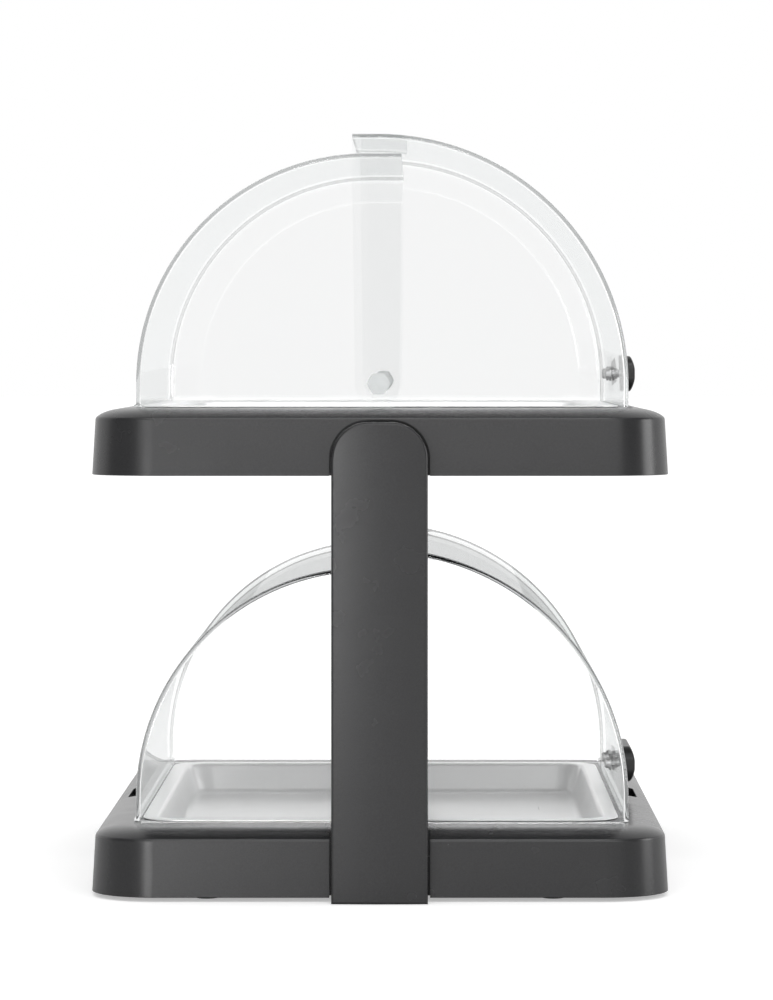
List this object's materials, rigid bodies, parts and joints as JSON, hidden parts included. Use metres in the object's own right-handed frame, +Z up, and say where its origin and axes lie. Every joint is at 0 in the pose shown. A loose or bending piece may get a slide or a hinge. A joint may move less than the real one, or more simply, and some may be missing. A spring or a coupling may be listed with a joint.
{
  "type": "roll-top buffet display",
  "caption": "Two-tier cooled buffet display: black moulded decks on end uprights, stainless trays and clear covers that roll open over the back.",
  "frame": {"origin": "on the table, under the middle of the display", "axes": "+X towards the handles across the display, +Y along it to the far end, +Z up"},
  "size_m": [0.32, 0.462, 0.423],
  "materials": {
    "black_plastic": "fine satin moulded grain",
    "black_grip": "satin",
    "clear_cover": "clear, polished",
    "clear_hardware": "clear, moulded",
    "stainless": "bright brushed",
    "screw_steel": "plain",
    "foot_rubber": "matt",
    "pack_plastic": "smooth"
  },
  "bodies": {
    "stand": {"near_upright": "black_plastic", "far_upright": "black_plastic", "near_upright_liner": "black_plastic", "far_upright_liner": "black_plastic", "near_upright_screws": "screw_steel", "far_upright_screws": "screw_steel", "feet": "foot_rubber", "lower_deck": "black_plastic", "lower_near_cooling_pack": "pack_plastic", "lower_far_cooling_pack": "pack_plastic", "upper_deck": "black_plastic", "upper_near_cooling_pack": "pack_plastic", "upper_far_cooling_pack": "pack_plastic"},
    "lower_tray": {"lower_tray": "stainless"},
    "lower_cover_set": {"lower_fixed_cover": "clear_cover", "lower_pivot_bolts": "clear_hardware", "lower_pivot_washers": "clear_hardware", "lower_pivot_nuts": "clear_hardware"},
    "lower_roll_cover": {"lower_roll_cover": "clear_cover", "lower_handle": "black_grip", "lower_handle_screws": "screw_steel", "lower_handle_washers": "screw_steel"},
    "upper_tray": {"upper_tray": "stainless"},
    "upper_cover_set": {"upper_fixed_cover": "clear_cover", "upper_pivot_bolts": "clear_hardware", "upper_pivot_washers": "clear_hardware", "upper_pivot_nuts": "clear_hardware"},
    "upper_roll_cover": {"upper_roll_cover": "clear_cover", "upper_handle": "black_grip", "upper_handle_screws": "screw_steel", "upper_handle_washers": "screw_steel"}
  },
  "joints": [
    {"name": "lower_cover_lift", "type": "slide", "parent": "stand", "child": "lower_cover_set", "axis": [0, 0, 1], "range_m": [0, 0.024]},
    {"name": "lower_roll", "type": "hinge", "parent": "lower_cover_set", "child": "lower_roll_cover", "pos_m": [-0.001, 0, 0.0527], "axis": [0, -1, 0], "range_deg": [0, 88]},
    {"name": "lower_tray_lift", "type": "slide", "parent": "stand", "child": "lower_tray", "axis": [0, 0, 1], "range_m": [0, 0.012]},
    {"name": "upper_cover_lift", "type": "slide", "parent": "stand", "child": "upper_cover_set", "axis": [0, 0, 1], "range_m": [0, 0.2]},
    {"name": "upper_roll", "type": "hinge", "parent": "upper_cover_set", "child": "upper_roll_cover", "pos_m": [-0.001, 0, 0.2837], "axis": [0, -1, 0], "range_deg": [0, 88]},
    {"name": "upper_tray_lift", "type": "slide", "parent": "stand", "child": "upper_tray", "axis": [0, 0, 1], "range_m": [0, 0.1]}
  ],
  "couplings": [
    {"joint": "lower_tray_lift", "follows": "lower_cover_lift", "ratio": 0.5},
    {"joint": "upper_tray_lift", "follows": "upper_cover_lift", "ratio": 0.5}
  ]
}
